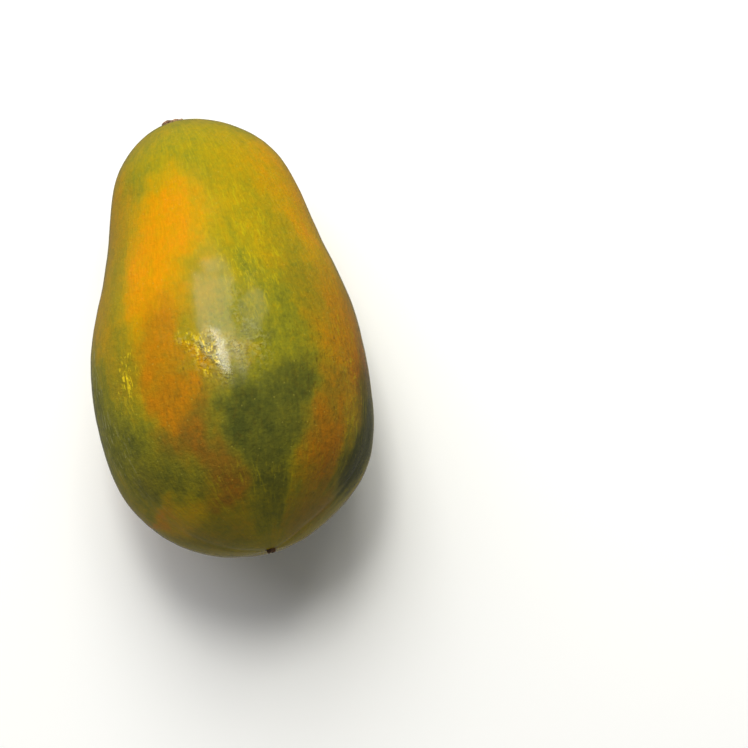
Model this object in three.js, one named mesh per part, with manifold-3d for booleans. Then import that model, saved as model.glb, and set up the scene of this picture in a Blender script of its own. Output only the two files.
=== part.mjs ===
// A papaya of the large, pear-shaped kind, lying on its side. It grew as one piece, so it is
// one closed solid: the body with its five faint seams, the short corky stub where it was cut
// from the tree, and the small scar that the flower left at the other end.
// Millimetres, +Z up. The stem end points along +Y and hangs a little lower than the fruit's
// own middle, as it does when the fruit lies free. The origin is under the middle of the
// fruit's box, on the surface that it rests on.

import * as THREE from 'three';
import { mergeVertices } from 'three/addons/utils/BufferGeometryUtils.js';
import Module from 'manifold-3d';

// The body, from the flower end to the stem end
const LENGTH = 217;

// How full each side is at stations evenly spaced in angle from the flower end to the stem end.
// A side's distance from the fruit's axis is its fullness times the sine of that angle.
const FULLNESS = {
  left: [88, 86, 85.5, 78.5, 69.5, 65, 50.5, 48.5, 56, 48.5, 48],
  right: [46, 61, 81, 74.5, 67, 65, 58.5, 63.5, 71.5, 64, 58],
  top: [62, 68, 79, 75.5, 68.5, 63.5, 55, 53.5, 58, 51, 46],
  under: [116, 103, 89, 77.5, 68.5, 63.5, 56, 55, 61, 57, 55],
};

// The seams: grooves between the five lobes, deepest at the flower end
const SEAM_COUNT = 5;
const FIRST_SEAM_ANGLE = 87;
const SEAM_TWIST = -32;
const SEAM_DEPTH_AT_FLOWER = 0.034;
const SEAM_DEPTH_ALONG = 0.007;
const SEAM_FADE = 0.16;
const SEAM_SWELL = 0.375;

// The flower end comes to a slight point, and the stem end is slightly sunk
const POINT_HEIGHT = 0.4;
const POINT_RADIUS = 9;
const DIMPLE_DEPTH = 2;
const DIMPLE_RADIUS = 11;

// Soft flats and swellings of the skin. along runs from 0 at the flower end to 1 at the stem
// end, around is in degrees from the right side over the top, and a negative rise is a flat.
const UNEVEN = [
  { along: 0.62, around: 128, reach: 30, rise: 0.9 },
  { along: 0.5, around: 62, reach: 26, rise: -0.8 },
  { along: 0.27, around: 112, reach: 28, rise: -0.9 },
  { along: 0.36, around: 24, reach: 24, rise: 0.8 },
  { along: 0.8, around: 70, reach: 22, rise: -0.7 },
  { along: 0.45, around: 190, reach: 30, rise: -0.9 },
  { along: 0.7, around: 250, reach: 26, rise: 0.8 },
  { along: 0.3, around: 320, reach: 30, rise: -0.8 },
];

// The stub at the stem end, as radius and height from its root in the flesh
const STUB_PROFILE = [
  [0, -5],
  [4.6, -5],
  [5, 0.3],
  [5.5, 1.5],
  [5.1, 2.3],
  [3.6, 2.6],
  [0, 2.2],
];
const STUB_SIDES = 20;

// The scar at the flower end, as radius and height out of the skin
const SCAR_PROFILE = [
  [0, -3],
  [2.4, -3],
  [2.2, 0.5],
  [1.4, 1.2],
  [0, 1.3],
];
const SCAR_SIDES = 12;

// How the fruit lies, and how deep its skin is pressed flat where it rests
const DROOP = 11;
const FLAT_SPOT_DEPTH = 1;

// How finely the body is divided, with narrower rows near its two ends
const COLUMNS = 72;
const ROWS = 48;
const ROW_CROWDING = 0.12;

const SKIN = { color: '#8f8a24', roughness: 0.42, metalness: 0 };

const wasm = await Module();
wasm.setup();

// A smooth value between evenly spaced stations, t being counted in stations. Past either end
// the stations are mirrored.
function alongStations(stations, t) {
  const last = stations.length - 1;
  const index = Math.min(Math.floor(t), last - 1);
  const f = t - index;
  const at = (i) => stations[last - Math.abs(last - Math.abs(i))];
  return (
    (at(index - 1) * (1 - f) ** 3 +
      at(index) * (3 * f ** 3 - 6 * f ** 2 + 4) +
      at(index + 1) * (-3 * f ** 3 + 3 * f ** 2 + 3 * f + 1) +
      at(index + 2) * f ** 3) /
    6
  );
}

// The radius without its seams, blended round the fruit from its four sides
function plainRadius(polar, around) {
  const t = (polar / Math.PI) * (FULLNESS.left.length - 1);
  const side = (name) => alongStations(FULLNESS[name], t) * Math.sin(polar);
  const [left, right, top, under] = ['left', 'right', 'top', 'under'].map(side);
  return (
    (left + right + top + under) / 4 +
    ((right - left) / 2) * Math.cos(around) +
    ((top - under) / 2) * Math.sin(around) +
    ((right + left - top - under) / 4) * Math.cos(2 * around)
  );
}

// What the seams take from the radius, and what the lobes between them add, as a share of it
function seamShare(along, around) {
  const fade = Math.exp(-((along / SEAM_FADE) ** 2));
  const depth = SEAM_DEPTH_ALONG + (SEAM_DEPTH_AT_FLOWER - SEAM_DEPTH_ALONG) * fade;
  const firstSeam = THREE.MathUtils.degToRad(FIRST_SEAM_ANGLE + SEAM_TWIST * along);
  const groove = ((1 + Math.cos(SEAM_COUNT * (around - firstSeam))) / 2) ** 2;
  return depth * (SEAM_SWELL - groove);
}

// How far the skin stands out at a place, from the soft flats and swellings near it
function unevenness(along, around, radius) {
  let rise = 0;
  for (const patch of UNEVEN) {
    const turn = around - THREE.MathUtils.degToRad(patch.around);
    const across = 2 * radius * Math.sin(turn / 2);
    const lengthwise = LENGTH * (along - patch.along);
    rise += patch.rise * Math.exp(-(across ** 2 + lengthwise ** 2) / patch.reach ** 2);
  }
  return rise;
}

// The skin, polar running from 0 at the flower end to PI at the stem end
function skinPoint(polar, around) {
  const along = (1 - Math.cos(polar)) / 2;
  const plain = plainRadius(polar, around) * (1 + seamShare(along, around));
  const radius = plain + unevenness(along, around, plain) * Math.sin(polar);
  const point = POINT_HEIGHT * Math.exp(-((radius / POINT_RADIUS) ** 2));
  const dimple = DIMPLE_DEPTH * Math.exp(-((radius / DIMPLE_RADIUS) ** 2));
  const y = LENGTH * along - (polar < Math.PI / 2 ? point : dimple);
  return new THREE.Vector3(radius * Math.cos(around), y, radius * Math.sin(around));
}

// Shared vertices, so that the geometry is one closed surface
function closed(geometry) {
  geometry.deleteAttribute('normal');
  geometry.deleteAttribute('uv');
  return mergeVertices(geometry);
}

function bodyGeometry() {
  const geometry = closed(new THREE.SphereGeometry(1, COLUMNS, ROWS));
  const position = geometry.attributes.position;
  for (let i = 0; i < position.count; i += 1) {
    const [x, y, z] = [position.getX(i), position.getY(i), position.getZ(i)];
    const even = Math.atan2(Math.hypot(x, z), -y);
    const polar = even - ROW_CROWDING * Math.sin(2 * even);
    const point = skinPoint(polar, Math.atan2(z, x));
    position.setXYZ(i, point.x, point.y, point.z);
  }
  return geometry;
}

function turnedGeometry(profile, sides) {
  const points = profile.map(([radius, height]) => new THREE.Vector2(radius, height));
  return closed(new THREE.LatheGeometry(points, sides));
}

function stubGeometry() {
  const stemEnd = LENGTH - DIMPLE_DEPTH;
  return turnedGeometry(STUB_PROFILE, STUB_SIDES).translate(0, stemEnd, 0);
}

function scarGeometry() {
  const flowerEnd = -POINT_HEIGHT;
  return turnedGeometry(SCAR_PROFILE, SCAR_SIDES).rotateX(Math.PI).translate(0, flowerEnd, 0);
}

function solidOf(geometry) {
  return new wasm.Manifold(
    new wasm.Mesh({
      numProp: 3,
      vertProperties: Float32Array.from(geometry.attributes.position.array),
      triVerts: Uint32Array.from(geometry.index.array),
    }),
  );
}

function geometryOf(solid) {
  const { vertProperties, triVerts } = solid.getMesh();
  const geometry = new THREE.BufferGeometry();
  geometry.setAttribute('position', new THREE.BufferAttribute(vertProperties, 3));
  geometry.setIndex(new THREE.BufferAttribute(triVerts, 1));
  return geometry;
}

// The whole fruit laid down, with its flat spot cut and its box centred over the origin
function papayaGeometry() {
  const lay = new THREE.Matrix4().makeRotationX(-THREE.MathUtils.degToRad(DROOP));
  const body = bodyGeometry().applyMatrix4(lay);
  body.computeBoundingBox();
  const surface = body.boundingBox.min.z + FLAT_SPOT_DEPTH;
  const fruit = solidOf(body)
    .add(solidOf(stubGeometry().applyMatrix4(lay)))
    .add(solidOf(scarGeometry().applyMatrix4(lay)))
    .trimByPlane([0, 0, 1], surface);
  const geometry = geometryOf(fruit);
  geometry.computeBoundingBox();
  const middle = geometry.boundingBox.getCenter(new THREE.Vector3());
  geometry.translate(-middle.x, -middle.y, -surface);
  geometry.computeVertexNormals();
  return geometry;
}

const papaya = new THREE.Mesh(papayaGeometry(), new THREE.MeshStandardMaterial(SKIN));
papaya.name = 'papaya';

const fruit = new THREE.Group();
fruit.add(papaya);

export default fruit;
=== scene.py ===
import math

import bpy
import numpy as np
from mathutils import Matrix, Vector, noise


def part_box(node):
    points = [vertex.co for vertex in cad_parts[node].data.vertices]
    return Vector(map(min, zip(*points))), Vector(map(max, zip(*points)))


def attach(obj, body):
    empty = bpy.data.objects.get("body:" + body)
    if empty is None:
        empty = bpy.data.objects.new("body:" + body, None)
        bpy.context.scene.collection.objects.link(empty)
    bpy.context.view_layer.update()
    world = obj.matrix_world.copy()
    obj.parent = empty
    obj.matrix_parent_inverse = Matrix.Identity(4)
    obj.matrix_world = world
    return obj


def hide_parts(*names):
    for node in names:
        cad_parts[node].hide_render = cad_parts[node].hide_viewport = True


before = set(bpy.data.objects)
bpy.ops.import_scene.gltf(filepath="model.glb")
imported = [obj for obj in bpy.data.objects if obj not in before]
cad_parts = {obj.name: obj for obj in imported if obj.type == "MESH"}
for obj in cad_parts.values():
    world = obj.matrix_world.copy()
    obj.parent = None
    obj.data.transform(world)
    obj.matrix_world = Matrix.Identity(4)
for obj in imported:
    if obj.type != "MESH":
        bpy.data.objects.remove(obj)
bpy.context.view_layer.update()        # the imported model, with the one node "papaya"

# The fruit's shape is worked out in millimetres in the fruit's own frame: y runs from the flower
# end to the stem end, x to the right and z up. It is then laid down in the row frame, in metres.
MM = 0.001
LENGTH = 217.0

# How full each side is at stations evenly spaced in angle from the flower end to the stem end
FULLNESS = {
    "left": [88, 86, 85.5, 78.5, 69.5, 65, 50.5, 48.5, 56, 48.5, 48],
    "right": [46, 61, 81, 74.5, 67, 65, 58.5, 63.5, 71.5, 64, 58],
    "top": [62, 68, 79, 75.5, 68.5, 63.5, 55, 53.5, 58, 51, 46],
    "under": [116, 103, 89, 77.5, 68.5, 63.5, 56, 55, 61, 57, 55],
}

# The seams between the five lobes
SEAM_COUNT = 5
FIRST_SEAM_ANGLE = 87.0
SEAM_TWIST = -32.0
SEAM_DEPTH_AT_FLOWER = 0.034
SEAM_DEPTH_ALONG = 0.007
SEAM_FADE = 0.16
SEAM_SWELL = 0.375

# The slight point at the flower end and the sunk stem end
POINT_HEIGHT = 0.4
POINT_RADIUS = 9.0
DIMPLE_DEPTH = 2.0
DIMPLE_RADIUS = 11.0

# Soft flats and swellings: place along from 0 to 1, degrees around, reach and rise
UNEVEN = [
    (0.62, 128, 30, 0.9),
    (0.5, 62, 26, -0.8),
    (0.27, 112, 28, -0.9),
    (0.36, 24, 24, 0.8),
    (0.8, 70, 22, -0.7),
    (0.45, 190, 30, -0.9),
    (0.7, 250, 26, 0.8),
    (0.3, 320, 30, -0.8),
]

# How the fruit lies
DROOP = math.radians(11)
FLAT_SPOT_DEPTH = 1.0

# The mesh, with narrower rows near the two ends
COLUMNS = 300
ROWS = 310
ROW_CROWDING = 0.12

# Relief that is finer than the solid: size across and height of each layer of lumps, the creases
# in the seams, which begin a little way from the flower end, and the puckers round the stem
LUMPS = [(17.0, 0.3), (6.5, 0.1)]
CREASE_WIDTH = 2.0
CREASE_DEPTH = 0.22
CREASE_LENGTH = 0.2
CREASE_START = 6.0
PUCKER_COUNT = 11
PUCKER_UNEVENNESS = 3
PUCKER_DEPTH = 0.35
PUCKER_REACH = 9.0

# Which of the possible uneven patterns the skin has
SEED = 5

# Noise that runs lengthwise is read at the skin's points squeezed lengthwise, on one radius
SPUN_RADIUS = 55.0
SPUN_SQUEEZE = 0.22

# The camera looks down from the flower end's side, turned in its own picture plane. The fruit's
# middle is to the left of the picture's and above it. All in mm, but for the reach, in metres.
CAMERA_DISTANCE = 1200.0
CAMERA_LEAN = math.radians(3)
CAMERA_TURN = math.radians(13.75)
MIDDLE_LEFT = 73.4
MIDDLE_UP = 20.3
PIXELS_PER_MM = 2.09
PICTURE_PIXELS = 748
SENSOR_WIDTH = 36.0
CAMERA_REACH = 50.0

# The lamps: each window's direction from the fruit, its size in metres and its power in watts
AIM = (0.0, 0.0, 0.08)
LAMP_DISTANCE = 1.5
WINDOW_COLOUR = (1.0, 0.98, 0.88)
WINDOWS = {
    "wide_window": ((0.09, 0.63, 0.77), (0.82, 0.95), 14),
    "low_window": ((0.04, 0.42, 0.91), (0.25, 0.4), 6.5),
    "narrow_window": ((0.44, 0.49, 0.75), (0.22, 1.1), 2.9),
}
DAYLIGHT_DIRECTION = (-0.2, 0.72, 0.68)
DAYLIGHT_ANGLE = 60
DAYLIGHT_STRENGTH = 1.4
ROOM_COLOUR = (1.0, 0.98, 0.92, 1)
ROOM_STRENGTH = 0.18

# The floor, in metres
FLOOR_HALF = 6.0
FLOOR_COLOUR = (0.94, 0.95, 0.98, 1)
FLOOR_ROUGHNESS = 0.9

# Where the skin has ripened: place along in mm, degrees around, half length and half width in mm,
# ripeness from 0 (dark green) to 1 (gold), and browning from 0 (bright) to 1 (brownish and darker);
# the browning is partly the skin's own brown and partly painted shade on the lower, flower-end side.
# Later patches lie over earlier ones.
BASE_RIPENESS = 0.48
BASE_BROWNING_AND_SHADE = 0.25
PATCHES = [
    ("crown", 193, 84, 22, 34, 0.47, 0.05),
    ("crown right", 179, 35, 16, 22, 0.70, 0.10),
    ("right shoulder", 150, 24, 34, 16, 0.82, 0.0),
    ("left shoulder", 169, 148, 25, 12, 0.68, 0.35),
    ("left band", 118, 152, 30, 12, 0.67, 0.32),
    ("yellow middle", 142, 65, 32, 18, 0.56, 0.05),
    ("gold upper", 153, 99, 22, 19, 0.94, 0.0),
    ("gold lower", 128, 113, 36, 17, 0.95, 0.05),
    ("right olive", 98, 52, 24, 13, 0.48, 0.40),
    ("lime", 104, 76, 34, 14, 0.44, 0.05),
    ("green middle", 90, 66, 22, 14, 0.32, 0.10),
    ("right strip", 84, 26, 30, 20, 0.80, 0.60),
    ("right edge", 62, 16, 24, 12, 0.74, 1.0),
    ("brown low", 22, 104, 18, 14, 0.58, 1.0),
    ("brown", 46, 104, 22, 17, 0.60, 1.0),
    ("amber", 98, 109, 18, 11, 0.80, 0.65),
    ("amber low", 82, 115, 17, 12, 0.80, 0.60),
    ("orange belly", 68, 113, 14, 10, 0.82, 0.75),
    ("olive spot", 86, 93, 11, 9, 0.52, 0.20),
    ("gold spot", 79, 99, 8, 6, 0.86, 0.20),
    ("cheek", 81, 132, 14, 10, 0.54, 0.35),
    ("left grey green", 74, 162, 28, 18, 0.26, 0.25),
    ("brown left", 44, 124, 14, 10, 0.46, 0.90),
    ("left dark", 50, 143, 20, 14, 0.24, 0.30),
    ("low left green", 32, 135, 15, 18, 0.28, 0.50),
    ("dark middle", 47, 82, 19, 16, 0.0, 0.20),
    ("dark low", 23, 80, 26, 10, 0.16, 0.50),
    ("dark right", 50, 60, 20, 12, 0.16, 0.50),
    ("right orange", 35, 46, 26, 14, 0.75, 0.90),
    ("right brown", 62, 42, 9, 10, 0.62, 0.75),
    ("dark right lobe", 62, 62, 11, 12, 0.10, 0.35),
    # Painted shade: the right underside by the flower end, painted in the darkest brown
    ("far right", 36, 12, 26, 13, 0.0, 1.0),
    # Partly painted shade: darker, browner skin low on the right by the flower end
    ("low right", 11, 36, 16, 13, 0.56, 0.65),
    ("flower end", 8, 130, 10, 26, 0.46, 0.45),
    # Partly painted light: a lighter, yellower rim low on the left, as if lit by bounced light
    ("low left rim", 18, 150, 8, 22, 0.66, 0.15),
    ("orange rim", 21, 166, 3, 22, 0.80, 0.40),
    ("back gold", 120, 250, 44, 22, 0.90, 0.10),
    ("back olive", 150, 205, 44, 22, 0.48, 0.25),
    ("back amber", 62, 232, 30, 22, 0.80, 0.50),
    ("back green", 74, 305, 48, 22, 0.14, 0.35),
    ("back yellow", 155, 322, 34, 20, 0.66, 0.15),
    ("back low", 34, 272, 22, 22, 0.30, 0.55),
]
EDGE_SOFTNESS = 0.65

# How far noise moves the edges of the patches, and how large that noise is, in mm
BROAD_WANDER = 7
BROAD_SIZE = 24
LENGTHWISE_WANDER = 5
LENGTHWISE_SIZE = 6
FINE_WANDER = 4
FINE_SIZE = 7

# Where the yellow flecks, the crinkled skin with its painted highlight glints, the lime strokes, the
# pale streaks of dried sap and painted sheen, and the freckles are: place along in mm, degrees around,
# half length and half width in mm, and strength
FLECKS = [
    ("spot", 81, 95, 11, 8, 1.0),
    ("cheek", 82, 132, 12, 9, 0.8),
    ("middle", 122, 74, 14, 12, 0.3),
    ("back", 70, 250, 20, 14, 0.8),
]
# Crinkled skin: sharper gloss and finer relief, and pale dabs painted as highlight glints; the patches
# lie where the highlight falls
CRINKLES_AND_GLINTS = [
    ("highlight", 81, 90, 12, 7, 1.0),
    ("second highlight", 88, 77, 18, 5, 0.4),
    ("spot", 80, 97, 9, 7, 0.6),
]
STROKES = [
    ("middle", 132, 64, 36, 16, 1.0),
    ("crown", 190, 80, 20, 20, 0.5),
    ("right", 66, 26, 40, 12, 0.8),
    ("cheek", 78, 136, 16, 10, 0.9),
    ("low", 20, 90, 16, 40, 0.5),
    ("back", 120, 215, 40, 20, 0.8),
]
SAP_AND_SHEEN = [
    # The two left streaks are a painted sheen reflection along the left edge; the back streaks are dried
    # sap
    ("left", 76, 157, 36, 6, 1.0),
    ("left low", 44, 150, 22, 6, 0.8),
    ("back", 140, 230, 30, 12, 0.8),
]
FRECKLES = [
    ("right", 52, 42, 50, 22, 1.0),
    ("highlight", 95, 83, 24, 14, 0.6),
    ("brown", 60, 100, 34, 22, 0.7),
    ("upper", 132, 68, 50, 26, 0.35),
    ("back", 90, 270, 50, 30, 0.7),
]

# The skin's colours as it ripens, bright, and brownish and darker, the darker set partly painted shade:
# ripeness and colour
BRIGHT_SKIN = [
    (0.0, "#454a1a"), (0.18, "#5e611c"), (0.36, "#7f7d19"), (0.5, "#948610"),
    (0.66, "#a88c0a"), (0.82, "#b88a00"), (1.0, "#c98500"),
]
BROWNED_AND_SHADED_SKIN = [
    (0.0, "#41431c"), (0.2, "#544f1d"), (0.4, "#68571b"), (0.6, "#7a5818"),
    (0.8, "#985f10"), (1.0, "#ae690c"),
]

# Noise in the skin: size in mm, detail, roughness and, for some, distortion. The edges are the
# values between which a noise begins to show as a mark.
CLOUDS = (13, 4.0, 0.6)
BLOTCHES = (5.5, 4.0, 0.7)
MOTTLE = (2.0, 3.0, 0.6)
STREAKS = (3.2, 3.0, 0.55)
FIBRES = (0.9, 4.0, 0.65)
STRANDS = (1.6, 3.0, 0.6, 1.2)
STRAND_EDGES = (0.52, 0.68)
CRACKLE = (1.8, 3.0, 0.6, 1.6)
CRACKLE_EDGES = (0.5, 0.6)
BREAKS = (3.4, 2.0)
BREAK_EDGES = (0.42, 0.54)
FROST = (1.9, 2.0)
GLINT_EDGES = (0.48, 0.6)
SMUDGES = (2.2, 5.0, 0.75)
SMUDGE_EDGES = (0.5, 0.64)
SAP_AND_SHEEN_RUNS = (1.5, 3.0, 0.6, 0.8)
SAP_AND_SHEEN_EDGES = (0.53, 0.68)
FRECKLE_GROUPS = (4.5, 2.0)
GROUP_EDGES = (0.46, 0.58)
SOFT_DENTS = (4.5, 2.0)
GRAIN = (1.3, 4.0, 0.65)

# How much each noise changes the ripeness
CLOUD_SHARE = 0.26
BLOTCH_SHARE = 0.36
MOTTLE_SHARE = 0.3
STREAK_SHARE = 0.2

# Fibre noise from its low to its high end becomes a darker to a lighter tone
FIBRE_EDGES = (0.3, 0.7)
FIBRE_TONES = (0.89, 1.11)

# Pores and freckles: spacing in mm, and the distances, in spacings, where a spot ends and is full
PORE_SPACING = 4.2
PORE_EDGES = (0.13, 0.06)
FRECKLE_SPACING = 2.0
FRECKLE_EDGES = (0.3, 0.14)
FRECKLE_SQUEEZE = (1, 0.45, 1)

# What lies over the skin's own colour, including painted highlight glints and a painted sheen: colour
# and strength
STROKE_TINT = ("#b3a40e", 0.55)
FLECK_COLOUR = "#e6c81c"
# Painted highlight: pale glints on the crinkled skin
PAINTED_GLINT_TINT = ("#c6c68c", 0.35)
PORE_TINT = ("#b8ae4a", 0.22)
FRECKLE_TINT = ("#4a3a12", 0.5)
SMUDGE_TINT = ("#54420f", 0.4)
# Pale streaks: dried sap, and along the left edge a painted sheen
SAP_AND_SHEEN_TINT = ("#a8a272", 0.42)
CORKY_SKIN = "#6b4a26"

# The waxy gloss, sharper where the skin is crinkled, and relief too fine for the mesh, in metres
SKIN_ROUGHNESS = 0.45
WAX_WEIGHT = 0.8
WAX_IOR = 1.33
WAX_ROUGHNESS = (0.16, 0.1)
DENT_RELIEF = 0.0005
GRAIN_RELIEF = 0.0005
PORE_RELIEF = -0.0001
WRINKLE_RELIEF = 0.0038

# Where the skin turns corky, at the stem end and at the flower end, in mm from the fruit's axis
CORK_RAGGEDNESS = 2.5
CORK_RAG_SIZE = 3
STEM_CORK_RADIUS = 8.0
STEM_CORK_FADE = 2.5
FLOWER_CORK_RADIUS = 3.4
FLOWER_CORK_FADE = 1.5
CORK_STRENGTH = 0.85

# Dry cork: two layers of noise, as size in mm, detail and roughness, and their shares of its tone
CORK_CLOUDS = (2.2, 4.0, 0.65)
CORK_FIBRES = (0.5, 3.0, 0.6)
CORK_CLOUD_SHARE = 0.7
CORK_FIBRE_SHARE = 0.3
CORK_EDGES = (0.38, 0.62)
CORK_ROUGHNESS = 0.85
CORK_CLOUD_RELIEF = 0.0006
CORK_FIBRE_RELIEF = 0.0003
CORK_HOLLOW = "#2c1c12"
STUB_COLOURS = ("#b08a6c", "#4a3020")
SCAR_COLOURS = ("#6e4a2a", "#2e1d12")

# The stub at the stem end: its profile as radius and height, then what makes it ragged. A wave
# is a size in mm, a count round the stub and a phase. The hollow is the dark middle of the end.
STUB_CORNERS = [
    (0, -4.0), (4.4, -4.0), (4.9, 0.2), (5.2, 1.3), (5.3, 1.9),
    (4.6, 2.5), (3.4, 2.1), (2.0, 2.2), (0, 1.6),
]
STUB_STEPS = 8
STUB_COLUMNS = 150
STUB_SIDE_START = 3.5
STUB_SIDE_BLEND = 1.5
STUB_TOP_START = 1.2
STUB_BUNDLES = 12
BUNDLE_HEIGHT = 0.22
BUNDLE_RADIUS = 3.3
BUNDLE_WIDTH = 0.7
RIDGE_HEIGHT = 0.12
RIDGE_SLANT = 1.3
STUB_OVAL = [(0.25, 2, math.pi / 2 + 0.6), (0.14, 5, math.pi / 2)]
STUB_TORN = [(0.35, 3, 0.8), (0.2, 7, 0.0)]
STUB_ROUGHNESS = [(0.25, 1.6), (0.1, 0.6)]
STUB_HOLLOW_RADIUS = 1.4
STUB_HOLLOW_DARKNESS = 1.2

# The scar at the flower end
SCAR_RADIUS = 2.1
SCAR_CORNERS = [(0, -1.5), (2.1, -1.5), (2.1, 0.3), (1.7, 0.9), (1.1, 1.2), (0.6, 0.8), (0, 0.6)]
SCAR_STEPS = 7
SCAR_COLUMNS = 80
SCAR_LOBES = 5
LOBE_HEIGHT = 0.3
LOBE_RISE = 0.8
SCAR_ROUGHNESS = [(0.15, 0.8)]
SCAR_HOLLOW_RADIUS = 0.9
SCAR_HOLLOW_DARKNESS = 1.0


# Shape

def along_stations(stations, t):
    """A smooth value between evenly spaced stations, which are mirrored past either end."""
    values = np.array(stations, float)
    last = len(values) - 1
    index = np.minimum(np.floor(t), last - 1).astype(int)
    f = t - index

    def at(i):
        return values[last - np.abs(last - np.abs(i))]

    before = at(index - 1) * (1 - f) ** 3
    here = at(index) * (3 * f**3 - 6 * f**2 + 4)
    ahead = at(index + 1) * (-3 * f**3 + 3 * f**2 + 3 * f + 1)
    beyond = at(index + 2) * f**3
    return (before + here + ahead + beyond) / 6


def plain_radius(polar, around):
    """The radius without seams, blended round the fruit from its four sides."""
    t = polar / math.pi * (len(FULLNESS["left"]) - 1)
    left, right, top, under = (
        along_stations(FULLNESS[side], t) * np.sin(polar) for side in ("left", "right", "top", "under")
    )
    return (
        (left + right + top + under) / 4
        + (right - left) / 2 * np.cos(around)
        + (top - under) / 2 * np.sin(around)
        + (right + left - top - under) / 4 * np.cos(2 * around)
    )


def seam_turn(along, around):
    """The angle from the first seam, counted so that a full turn is one lobe."""
    return SEAM_COUNT * (around - np.radians(FIRST_SEAM_ANGLE + SEAM_TWIST * along))


def seam_share(along, around):
    """What the seams take from the radius, and what the lobes add, as a share of it."""
    fade = np.exp(-((along / SEAM_FADE) ** 2))
    depth = SEAM_DEPTH_ALONG + (SEAM_DEPTH_AT_FLOWER - SEAM_DEPTH_ALONG) * fade
    groove = ((1 + np.cos(seam_turn(along, around))) / 2) ** 2
    return depth * (SEAM_SWELL - groove)


def unevenness(along, around, radius):
    """How far the skin stands out from the soft flats and swellings near a place."""
    rise = np.zeros_like(radius)
    for place, angle, reach, height in UNEVEN:
        across = 2 * radius * np.sin((around - math.radians(angle)) / 2)
        lengthwise = LENGTH * (along - place)
        rise += height * np.exp(-(across**2 + lengthwise**2) / reach**2)
    return rise


def skin_points(polar, around):
    """The smooth skin in the fruit's own frame, polar running from the flower end to the stem end."""
    along = (1 - np.cos(polar)) / 2
    plain = plain_radius(polar, around) * (1 + seam_share(along, around))
    radius = plain + unevenness(along, around, plain) * np.sin(polar)
    point = POINT_HEIGHT * np.exp(-((radius / POINT_RADIUS) ** 2))
    dimple = DIMPLE_DEPTH * np.exp(-((radius / DIMPLE_RADIUS) ** 2))
    y = LENGTH * along - np.where(polar < math.pi / 2, point, dimple)
    return np.stack([radius * np.cos(around), y, radius * np.sin(around)], -1)


def skin_normals(polar, around):
    """Unit normals of the smooth skin, pointing out."""
    step = 1e-4
    end_gap = 0.01
    inner = np.clip(polar, end_gap, math.pi - end_gap)
    here = skin_points(inner, around)
    ahead = skin_points(inner + step, around) - here
    beside = skin_points(inner, around + step) - here
    normals = np.cross(ahead, beside)
    return normals / np.linalg.norm(normals, axis=-1, keepdims=True)


def spun(points, around):
    """Points squeezed lengthwise and pushed out to one radius, so that noise there runs lengthwise."""
    x = SPUN_RADIUS * np.cos(around)
    z = SPUN_RADIUS * np.sin(around)
    return np.stack([x, points[:, 1] * SPUN_SQUEEZE, z], -1)


def noise_at(points, size):
    """Smooth noise between about -0.5 and 0.5, with features of the given size."""
    return np.array([noise.noise(Vector(p)) for p in points / size])


def noise_vectors(points, size):
    """Smooth noise in three directions, each between about -1 and 1."""
    return np.array([noise.noise_vector(Vector(p)) for p in points / size])


def crease(along, around, radius):
    """The narrow line at the bottom of each seam, near the flower end."""
    turn = seam_turn(along, around)
    nearest = (turn + math.pi) % (2 * math.pi) - math.pi
    across = nearest / SEAM_COUNT * radius
    fade = np.exp(-((along / CREASE_LENGTH) ** 2)) * np.clip(radius / CREASE_START, 0, 1)
    return -CREASE_DEPTH * fade * np.exp(-((across / CREASE_WIDTH) ** 2))


def puckers(points, around):
    """Small folds that run out from the stem."""
    radius = np.hypot(points[:, 0], points[:, 2])
    near = np.exp(-((radius / PUCKER_REACH) ** 2)) * (points[:, 1] > LENGTH / 2)
    turn = PUCKER_COUNT * around + np.sin(PUCKER_UNEVENNESS * around)
    return -PUCKER_DEPTH * near * (1 + np.cos(turn)) / 2


def laid(points):
    """Points of the fruit's own frame turned as the fruit lies, in metres, not yet moved."""
    x, y, z = np.moveaxis(points * MM, -1, 0)
    c, s = math.cos(DROOP), math.sin(DROOP)
    return np.stack([x, y * c + z * s, z * c - y * s], -1)


def move_onto_floor(body):
    """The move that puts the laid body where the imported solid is."""
    low, high = body.min(0), body.max(0)
    solid_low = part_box("papaya")[0]
    sideways = -(low[0] + high[0]) / 2
    down = -(low[2] + FLAT_SPOT_DEPTH * MM)
    return np.array([sideways, solid_low[1] - low[1], down])


# Meshes

def polar_grid(rows, columns):
    """Polar and around angles of the two ends and the rings between them."""
    even = np.linspace(0, math.pi, rows + 1)
    polar = even - ROW_CROWDING * np.sin(2 * even)
    around = np.linspace(0, 2 * math.pi, columns, endpoint=False)
    ring_polar, ring_around = np.meshgrid(polar[1:-1], around, indexing="ij")
    all_polar = np.concatenate([[0], ring_polar.ravel(), [math.pi]])
    all_around = np.concatenate([[0], ring_around.ravel(), [0]])
    return all_polar, all_around


def capped_faces(rings, columns):
    """Faces of rings of points with one point at each end, the first and the last."""
    faces = []
    last = rings * columns + 1
    for j in range(columns):
        k = (j + 1) % columns
        faces.append((0, 1 + j, 1 + k))
        faces.append((last, last - columns + k, last - columns + j))
    for i in range(rings - 1):
        start = 1 + i * columns
        for j in range(columns):
            k = (j + 1) % columns
            faces.append((start + j, start + columns + j, start + columns + k, start + k))
    return faces


def make_piece(name, points, faces, material):
    """A smooth mesh object that stands for the solid and rides on the root body."""
    mesh = bpy.data.meshes.new(name)
    mesh.from_pydata([tuple(p) for p in points], [], faces)
    mesh.validate()
    mesh.polygons.foreach_set("use_smooth", [True] * len(mesh.polygons))
    mesh.materials.append(material)
    piece = bpy.data.objects.new(name, mesh)
    bpy.context.scene.collection.objects.link(piece)
    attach(piece, "root")
    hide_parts("papaya")
    return piece


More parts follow.
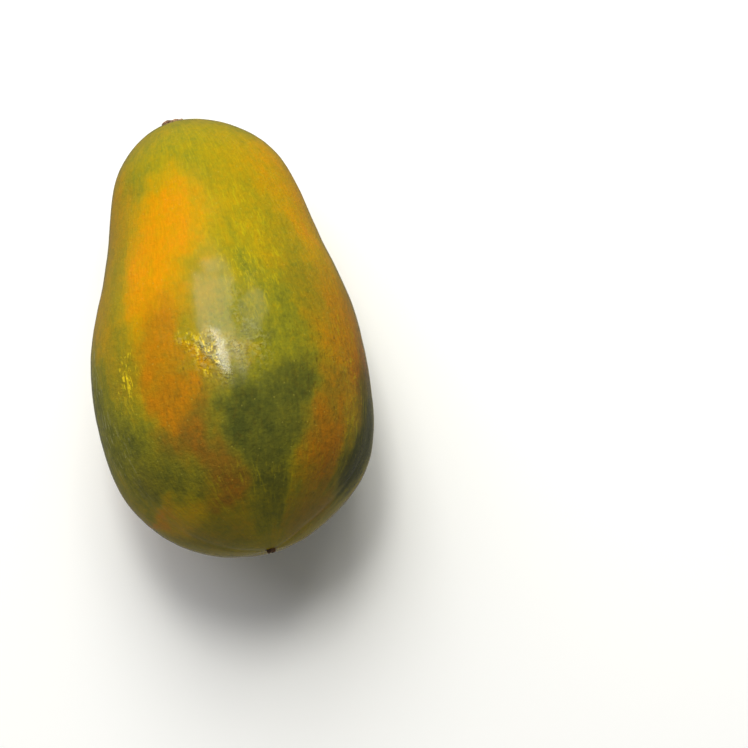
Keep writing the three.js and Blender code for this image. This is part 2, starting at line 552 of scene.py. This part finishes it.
def add_values(piece, name, values):
    """Keeps one number or one vector for each point of the mesh, for the material to read."""
    kind, field = ("FLOAT", "value") if values.ndim == 1 else ("FLOAT_VECTOR", "vector")
    attribute = piece.data.attributes.new(name, kind, "POINT")
    attribute.data.foreach_set(field, values.astype(np.float32).ravel())


# Colouring

def patch_frame(along_mm, angle):
    """A place on the skin and the directions lengthwise, around and out there."""
    polar = np.array([math.acos(1 - 2 * along_mm / LENGTH)])
    around = np.array([math.radians(angle)])
    centre = skin_points(polar, around)[0]
    out = skin_normals(polar, around)[0]
    sideways = np.array([-math.sin(around[0]), 0, math.cos(around[0])])
    lengthwise = np.cross(out, sideways)
    lengthwise /= np.linalg.norm(lengthwise)
    return centre, lengthwise, np.cross(lengthwise, out), out


def patch_cover(points, along_mm, angle, half_length, half_width):
    """How much of a soft-edged patch covers each point, from 0 to 1."""
    centre, lengthwise, sideways, out = patch_frame(along_mm, angle)
    away = points - centre
    distance = np.sqrt(
        (away @ lengthwise / half_length) ** 2
        + (away @ sideways / half_width) ** 2
        + (away @ out / max(half_length, half_width)) ** 2
    )
    t = np.clip((1 + EDGE_SOFTNESS - distance) / (2 * EDGE_SOFTNESS), 0, 1)
    return t * t * (3 - 2 * t)


def paint(points, base, patches, column):
    """One field of the colouring: each patch in turn pulls it to the patch's own value."""
    value = np.full(len(points), float(base))
    for patch in patches:
        value += (patch[column] - value) * patch_cover(points, *patch[1:5])
    return value


def strongest(points, patches):
    """How strong the strongest of several patches is at each point."""
    return np.max([patch[5] * patch_cover(points, *patch[1:5]) for patch in patches], axis=0)


def wandering(points, around):
    """Points moved a little by noise, so that patches painted there get uneven, lengthwise edges."""
    lengthwise = LENGTHWISE_WANDER * noise_vectors(spun(points, around), LENGTHWISE_SIZE)
    broad = BROAD_WANDER * noise_vectors(points, BROAD_SIZE)
    fine = FINE_WANDER * noise_vectors(points, FINE_SIZE)
    return points + broad + lengthwise + fine


# Nodes

def linear(colour):
    """A colour written as #rrggbb in linear light."""
    parts = [int(colour[i:i + 2], 16) / 255 for i in (1, 3, 5)]
    return [p / 12.92 if p <= 0.04045 else ((p + 0.055) / 1.055) ** 2.4 for p in parts] + [1]


def add_node(tree, kind, inputs=None, **settings):
    """A node with its settings, and each input either linked to a socket or set to a value."""
    node = tree.nodes.new(kind)
    for name, value in settings.items():
        setattr(node, name, value)
    for key, value in (inputs or {}).items():
        if isinstance(value, bpy.types.NodeSocket):
            tree.links.new(value, node.inputs[key])
        else:
            node.inputs[key].default_value = value
    return node


def calculate(tree, operation, a, b=0.0):
    return add_node(tree, "ShaderNodeMath", {0: a, 1: b}, operation=operation).outputs[0]


def multiply(tree, a, b):
    return calculate(tree, "MULTIPLY", a, b)


def between(tree, value, edges):
    """A value turned smoothly into 0 at the first of two edges and 1 at the second."""
    inputs = {0: value, 1: edges[0], 2: edges[1]}
    return add_node(tree, "ShaderNodeMapRange", inputs, interpolation_type="SMOOTHSTEP").outputs[0]


def scaled(tree, value, source, target):
    """A value turned evenly from one range into another."""
    inputs = {0: value, 1: source[0], 2: source[1], 3: target[0], 4: target[1]}
    return add_node(tree, "ShaderNodeMapRange", inputs).outputs[0]


def mix(tree, factor, a, b):
    return add_node(tree, "ShaderNodeMix", {0: factor, 6: a, 7: b}, data_type="RGBA").outputs[2]


def tint(tree, colour, cover, over, strength):
    """A colour with another laid over it, where a cover shows and as strongly as is said."""
    return mix(tree, multiply(tree, cover, strength), colour, linear(over))


def ramp(tree, factor, stops):
    """A colour that changes with a factor, through stops of position and colour."""
    node = add_node(tree, "ShaderNodeValToRGB", {0: factor})
    elements = node.color_ramp.elements
    while len(elements) < len(stops):
        elements.new(0.5)
    for element, (position, colour) in zip(elements, stops):
        element.position = position
        element.color = linear(colour)
    return node.outputs[0]


def read(tree, name, output="Fac"):
    """One of the values that the mesh keeps for each of its points."""
    return add_node(tree, "ShaderNodeAttribute", attribute_name=name).outputs[output]


def noise_texture(tree, vector, size, detail=2.0, roughness=0.5, distortion=0.0):
    inputs = {
        "Vector": vector, "Scale": 1 / size, "Detail": detail, "Roughness": roughness,
        "Distortion": distortion,
    }
    return add_node(tree, "ShaderNodeTexNoise", inputs).outputs["Fac"]


def spots(tree, vector, spacing):
    """The distance from the nearest of many scattered points, in spacings."""
    inputs = {"Vector": vector, "Scale": 1 / spacing, "Randomness": 1.0}
    return add_node(tree, "ShaderNodeTexVoronoi", inputs).outputs["Distance"]


def start_material(name):
    material = bpy.data.materials.new(name)
    material.use_nodes = True
    tree = material.node_tree
    return material, tree, tree.nodes["Principled BSDF"]


def add_bump(tree, shader, layers):
    """Layers of relief on a shader, each a height socket and its depth in metres."""
    normal = None
    for height, depth in layers:
        inputs = {"Height": height, "Distance": depth, "Strength": 1.0}
        if normal is not None:
            inputs["Normal"] = normal
        normal = add_node(tree, "ShaderNodeBump", inputs).outputs[0]
    tree.links.new(normal, shader.inputs["Normal"])


# Materials

def ripening_colour(tree, grown, lengthwise):
    """Green through yellow to orange, mottled by noise, bright in some places and brownish and darker in
    others, partly as painted shade.
    """
    ripeness = read(tree, "ripeness")
    layers = [
        (noise_texture(tree, grown, *CLOUDS), CLOUD_SHARE),
        (noise_texture(tree, grown, *BLOTCHES), BLOTCH_SHARE),
        (noise_texture(tree, grown, *MOTTLE), MOTTLE_SHARE),
        (noise_texture(tree, lengthwise, *STREAKS), STREAK_SHARE),
    ]
    for pattern, share in layers:
        swing = multiply(tree, calculate(tree, "SUBTRACT", pattern, 0.5), share)
        ripeness = calculate(tree, "ADD", ripeness, swing)
    bright = ramp(tree, ripeness, BRIGHT_SKIN)
    # A darker, browner copy of the skin colours, partly painted shade
    browned_and_shaded = ramp(tree, ripeness, BROWNED_AND_SHADED_SKIN)
    return mix(tree, read(tree, "browning_and_shade"), bright, browned_and_shaded)


def with_fibres(tree, colour, lengthwise):
    """Fine fibres, lighter and darker."""
    tone = scaled(tree, noise_texture(tree, lengthwise, *FIBRES), FIBRE_EDGES, FIBRE_TONES)
    inputs = {"Value": tone, "Color": colour}
    return add_node(tree, "ShaderNodeHueSaturation", inputs).outputs[0]


def with_strokes(tree, colour, lengthwise):
    """Lime-yellow strokes that run lengthwise."""
    strands = between(tree, noise_texture(tree, lengthwise, *STRANDS), STRAND_EDGES)
    return tint(tree, colour, multiply(tree, strands, read(tree, "strokes")), *STROKE_TINT)


def with_flecks(tree, colour, grown, lengthwise):
    """Yellow flecks, where the skin is finely crackled."""
    crackle = between(tree, noise_texture(tree, lengthwise, *CRACKLE), CRACKLE_EDGES)
    broken = between(tree, noise_texture(tree, grown, *BREAKS), BREAK_EDGES)
    return tint(tree, colour, multiply(tree, crackle, broken), FLECK_COLOUR, read(tree, "flecks"))


def with_freckles(tree, colour, grown):
    """Dark freckles in groups, and softer smudges among them, all drawn out lengthwise."""
    inputs = {0: grown, 1: FRECKLE_SQUEEZE}
    drawn_out = add_node(tree, "ShaderNodeVectorMath", inputs, operation="MULTIPLY").outputs[0]
    where = read(tree, "freckles")
    dots = between(tree, spots(tree, drawn_out, FRECKLE_SPACING), FRECKLE_EDGES)
    groups = between(tree, noise_texture(tree, grown, *FRECKLE_GROUPS), GROUP_EDGES)
    freckles = multiply(tree, multiply(tree, dots, groups), where)
    colour = tint(tree, colour, freckles, *FRECKLE_TINT)
    smudges = between(tree, noise_texture(tree, drawn_out, *SMUDGES), SMUDGE_EDGES)
    return tint(tree, colour, multiply(tree, smudges, where), *SMUDGE_TINT)


def with_sap_and_sheen(tree, colour, lengthwise):
    """Pale lengthwise streaks: dried sap, and along the left edge a painted sheen reflection."""
    sap_and_sheen_streaks = between(tree, noise_texture(tree, lengthwise, *SAP_AND_SHEEN_RUNS), SAP_AND_SHEEN_EDGES)
    return tint(tree, colour, multiply(tree, sap_and_sheen_streaks, read(tree, "sap_and_sheen")), *SAP_AND_SHEEN_TINT)


def add_wax(tree, shader, crinkles_and_glints):
    """The waxy gloss, which mirrors more sharply where the skin is crinkled.

    The coat's own roughness, that of smooth skin, is for models that keep a single number."""
    shader.inputs["Roughness"].default_value = SKIN_ROUGHNESS
    shader.inputs["Specular IOR Level"].default_value = 0.0
    shader.inputs["Coat Weight"].default_value = WAX_WEIGHT
    shader.inputs["Coat IOR"].default_value = WAX_IOR
    shader.inputs["Coat Roughness"].default_value = WAX_ROUGHNESS[0]
    roughness = scaled(tree, crinkles_and_glints, (0.0, 1.0), WAX_ROUGHNESS)
    tree.links.new(roughness, shader.inputs["Coat Roughness"])


def skin_material():
    """Waxy fruit skin, ripening from green through yellow to orange in uneven patches."""
    material, tree, shader = start_material("papaya_skin")
    grown = read(tree, "grown", "Vector")
    lengthwise = read(tree, "spun", "Vector")
    crinkles_and_glints = read(tree, "crinkles_and_glints")
    frost = noise_texture(tree, grown, *FROST)
    painted_glints = multiply(tree, between(tree, frost, GLINT_EDGES), crinkles_and_glints)
    pores = between(tree, spots(tree, grown, PORE_SPACING), PORE_EDGES)

    colour = ripening_colour(tree, grown, lengthwise)
    colour = with_fibres(tree, colour, lengthwise)
    colour = with_strokes(tree, colour, lengthwise)
    colour = with_flecks(tree, colour, grown, lengthwise)
    # Painted highlight: pale glints where the skin is crinkled
    colour = tint(tree, colour, painted_glints, *PAINTED_GLINT_TINT)
    colour = tint(tree, colour, pores, *PORE_TINT)
    colour = with_freckles(tree, colour, grown)
    # Pale streaks of dried sap, and a painted sheen along the left edge
    colour = with_sap_and_sheen(tree, colour, lengthwise)
    colour = mix(tree, read(tree, "cork"), colour, linear(CORKY_SKIN))
    tree.links.new(colour, shader.inputs["Base Color"])

    add_wax(tree, shader, crinkles_and_glints)
    add_bump(tree, shader, [
        (noise_texture(tree, grown, *SOFT_DENTS), DENT_RELIEF),
        (noise_texture(tree, grown, *GRAIN), GRAIN_RELIEF),
        (pores, PORE_RELIEF),
        (multiply(tree, frost, crinkles_and_glints), WRINKLE_RELIEF),
    ])
    return material


def cork_material(name, pale, dark):
    """Dry cork, pale where it is torn and dark where it has dried."""
    material, tree, shader = start_material(name)
    grown = read(tree, "grown", "Vector")
    clouds = noise_texture(tree, grown, *CORK_CLOUDS)
    fibres = noise_texture(tree, grown, *CORK_FIBRES)
    cloud_tone = multiply(tree, clouds, CORK_CLOUD_SHARE)
    fibre_tone = multiply(tree, fibres, CORK_FIBRE_SHARE)
    tone = calculate(tree, "ADD", cloud_tone, fibre_tone)
    colour = ramp(tree, between(tree, tone, CORK_EDGES), [(0.0, dark), (1.0, pale)])
    colour = mix(tree, read(tree, "hollow"), colour, linear(CORK_HOLLOW))
    tree.links.new(colour, shader.inputs["Base Color"])
    shader.inputs["Roughness"].default_value = CORK_ROUGHNESS
    add_bump(tree, shader, [(clouds, CORK_CLOUD_RELIEF), (fibres, CORK_FIBRE_RELIEF)])
    return material


# Pieces

def make_skin():
    """The fruit's whole skin. Returns the move that laid it on the floor."""
    polar, around = polar_grid(ROWS, COLUMNS)
    smooth = skin_points(polar, around)
    move = move_onto_floor(laid(smooth))
    normals = skin_normals(polar, around)
    radius = np.hypot(smooth[:, 0], smooth[:, 2])
    along = (1 - np.cos(polar)) / 2
    relief = crease(along, around, radius) + puckers(smooth, around)
    for size, height in LUMPS:
        relief += height * noise_at(smooth, size)
    relief[[0, -1]] = 0
    points = laid(smooth + normals * relief[:, None]) + move
    points[:, 2] = np.maximum(points[:, 2], 0)

    faces = capped_faces(ROWS - 1, COLUMNS)
    piece = make_piece("papaya_skin", points, faces, skin_material())
    wandered = wandering(smooth, around)
    add_values(piece, "grown", smooth)
    add_values(piece, "spun", spun(smooth, around))
    add_values(piece, "ripeness", paint(wandered, BASE_RIPENESS, PATCHES, 5))
    # Browning: partly the skin's own brown, partly painted shade
    add_values(piece, "browning_and_shade", paint(wandered, BASE_BROWNING_AND_SHADE, PATCHES, 6))
    add_values(piece, "flecks", strongest(wandered, FLECKS))
    add_values(piece, "crinkles_and_glints", strongest(wandered, CRINKLES_AND_GLINTS))
    add_values(piece, "strokes", strongest(wandered, STROKES))
    add_values(piece, "sap_and_sheen", strongest(wandered, SAP_AND_SHEEN))
    add_values(piece, "freckles", strongest(wandered, FRECKLES))
    add_values(piece, "cork", cork_cover(smooth, radius))
    return move


def cork_cover(points, radius):
    """Where the skin turns corky, round the stub and round the flower's scar."""
    ragged = radius + CORK_RAGGEDNESS * noise_at(points, CORK_RAG_SIZE)
    stem = np.clip((STEM_CORK_RADIUS - ragged) / STEM_CORK_FADE, 0, 1)
    flower = np.clip((FLOWER_CORK_RADIUS - ragged) / FLOWER_CORK_FADE, 0, 1)
    return CORK_STRENGTH * np.where(points[:, 1] > LENGTH / 2, stem, flower)


def turned_points(profile, columns, wobble):
    """Rings of points from a profile of radius and height, its two ends on the axis.

    wobble(radius, height, around) gives what each point's radius and height gain."""
    around = np.linspace(0, 2 * math.pi, columns, endpoint=False)
    rings = []
    for radius, height in profile[1:-1]:
        more_radius, more_height = wobble(radius, height, around)
        r = radius + more_radius
        y = height + more_height + np.zeros(columns)
        rings.append(np.stack([r * np.cos(around), y, r * np.sin(around)], -1))
    first = np.array([[0, profile[0][1], 0]])
    last = np.array([[0, profile[-1][1], 0]])
    return np.concatenate([first, *rings, last])


def smooth_profile(corners, steps):
    """Points along straight lines between corners, rounded by averaging."""
    corners = np.array(corners, float)
    sides = zip(corners, corners[1:])
    lines = [np.linspace(start, end, steps, endpoint=False) for start, end in sides]
    path = np.concatenate([*lines, corners[-1:]])
    for _ in range(steps):
        path[1:-1] = (path[:-2] + 2 * path[1:-1] + path[2:]) / 4
    path[0, 0] = path[-1, 0] = 0
    return path


def waves(around, parts):
    """A sum of waves round the axis, each a size, a count and a phase."""
    return sum(size * np.sin(count * around + phase) for size, count, phase in parts)


def roughened(points, layers):
    """Points moved by layers of noise, each a distance and a size."""
    return points + sum(distance * noise_vectors(points, size) for distance, size in layers)


def hollow_cover(points, darkness, radius):
    """The dark middle of a stub's outer face."""
    from_axis = np.hypot(points[:, 0], points[:, 2])
    return np.clip(darkness - from_axis / radius, 0, 1) * (points[:, 1] > 0)


def stub_wobble(radius, height, around):
    """The stub's ribs and oval outline, and the bundles of fibre and the tear on its outer face."""
    side = np.clip((radius - STUB_SIDE_START) / STUB_SIDE_BLEND, 0, 1)
    top = np.clip(height - STUB_TOP_START, 0, 1)
    ring = np.exp(-((radius - BUNDLE_RADIUS) / BUNDLE_WIDTH) ** 2)
    bundles = BUNDLE_HEIGHT * np.cos(STUB_BUNDLES * around) * ring
    ridges = RIDGE_HEIGHT * np.cos(STUB_BUNDLES * 2 * around + RIDGE_SLANT * height)
    outline = side * (ridges + waves(around, STUB_OVAL))
    return outline, top * (bundles + waves(around, STUB_TORN) * side)


def scar_wobble(radius, height, around):
    """The stumps of the flower's lobes."""
    lobes = LOBE_HEIGHT * np.cos(SCAR_LOBES * around)
    top = np.clip(height / LOBE_RISE, 0, 1)
    return lobes * (radius / SCAR_RADIUS), lobes * top * np.clip(radius, 0, 1)


def make_stub(move):
    """The short corky stub where the fruit was cut from the tree."""
    profile = smooth_profile(STUB_CORNERS, STUB_STEPS)
    points = roughened(turned_points(profile, STUB_COLUMNS, stub_wobble), STUB_ROUGHNESS)
    grown = points + [0, LENGTH - DIMPLE_DEPTH, 0]
    faces = capped_faces(len(profile) - 2, STUB_COLUMNS)
    material = cork_material("stem_cork", *STUB_COLOURS)
    piece = make_piece("stem_stub", laid(grown) + move, faces, material)
    add_values(piece, "grown", grown)
    add_values(piece, "hollow", hollow_cover(points, STUB_HOLLOW_DARKNESS, STUB_HOLLOW_RADIUS))


def make_scar(move):
    """The dry scar that the flower left, with the stumps of its five lobes."""
    profile = smooth_profile(SCAR_CORNERS, SCAR_STEPS)
    points = roughened(turned_points(profile, SCAR_COLUMNS, scar_wobble), SCAR_ROUGHNESS)
    grown = points * [1, -1, -1] + [0, -POINT_HEIGHT, 0]
    faces = capped_faces(len(profile) - 2, SCAR_COLUMNS)
    material = cork_material("flower_cork", *SCAR_COLOURS)
    piece = make_piece("flower_scar", laid(grown) + move, faces, material)
    add_values(piece, "grown", grown)
    add_values(piece, "hollow", hollow_cover(points, SCAR_HOLLOW_DARKNESS, SCAR_HOLLOW_RADIUS))


# Stage

def make_floor():
    """A plain pale floor, which the skin doesn't mirror."""
    mesh = bpy.data.meshes.new("floor")
    signs = ((-1, -1), (1, -1), (1, 1), (-1, 1))
    corners = [(x * FLOOR_HALF, y * FLOOR_HALF, 0) for x, y in signs]
    mesh.from_pydata(corners, [], [(0, 1, 2, 3)])
    floor = bpy.data.objects.new("floor", mesh)
    bpy.context.scene.collection.objects.link(floor)
    material, _, shader = start_material("floor_paper")
    shader.inputs["Base Color"].default_value = FLOOR_COLOUR
    shader.inputs["Roughness"].default_value = FLOOR_ROUGHNESS
    mesh.materials.append(material)
    floor.visible_glossy = False


def make_camera(move):
    """A camera over the fruit, with the fruit where the photograph has it."""
    back = Vector((0, -math.sin(CAMERA_LEAN), math.cos(CAMERA_LEAN)))
    level_up = Vector((0, math.cos(CAMERA_LEAN), math.sin(CAMERA_LEAN)))
    level_right = Vector((1, 0, 0))
    c, s = math.cos(CAMERA_TURN), math.sin(CAMERA_TURN)
    right = c * level_right - s * level_up
    up = s * level_right + c * level_up
    middle = Vector(laid(np.array([0, LENGTH / 2, 0])) + move)
    place = middle + (back * CAMERA_DISTANCE + right * MIDDLE_LEFT - up * MIDDLE_UP) * MM
    camera = bpy.data.objects.new("camera", bpy.data.cameras.new("camera"))
    camera.data.sensor_width = SENSOR_WIDTH
    camera.data.lens = PIXELS_PER_MM * CAMERA_DISTANCE * SENSOR_WIDTH / PICTURE_PIXELS
    camera.data.clip_end = CAMERA_REACH
    turn = Matrix((right, up, back)).transposed().to_4x4()
    camera.matrix_world = Matrix.Translation(place) @ turn
    bpy.context.scene.collection.objects.link(camera)
    bpy.context.scene.camera = camera


def place_lamp(name, light, direction):
    """A lamp in a direction from the fruit, aimed at it."""
    lamp = bpy.data.objects.new(name, light)
    away = Vector(direction).normalized()
    lamp.location = Vector(AIM) + away * LAMP_DISTANCE
    lamp.rotation_euler = away.to_track_quat("Z", "Y").to_euler()
    bpy.context.scene.collection.objects.link(lamp)
    return lamp


def make_window(name, direction, size, power):
    """A softbox, which the skin mirrors as a pale highlight."""
    light = bpy.data.lights.new(name, "AREA")
    light.color = WINDOW_COLOUR
    light.shape = "RECTANGLE"
    light.size, light.size_y = size
    light.energy = power
    place_lamp(name, light, direction)


def make_daylight():
    """Broad light that has no highlight of its own."""
    light = bpy.data.lights.new("daylight", "SUN")
    light.angle = math.radians(DAYLIGHT_ANGLE)
    light.energy = DAYLIGHT_STRENGTH
    place_lamp("daylight", light, DAYLIGHT_DIRECTION).visible_glossy = False


def make_room():
    """The faint light that comes from all round."""
    world = bpy.data.worlds.new("studio")
    world.use_nodes = True
    background = world.node_tree.nodes["Background"]
    background.inputs["Color"].default_value = ROOM_COLOUR
    background.inputs["Strength"].default_value = ROOM_STRENGTH
    bpy.context.scene.world = world


noise.seed_set(SEED)
move = make_skin()
make_stub(move)
make_scar(move)
make_floor()
make_camera(move)
for window, (direction, size, power) in WINDOWS.items():
    make_window(window, direction, size, power)
make_daylight()
make_room()
bpy.context.scene.view_settings.view_transform = "Standard"
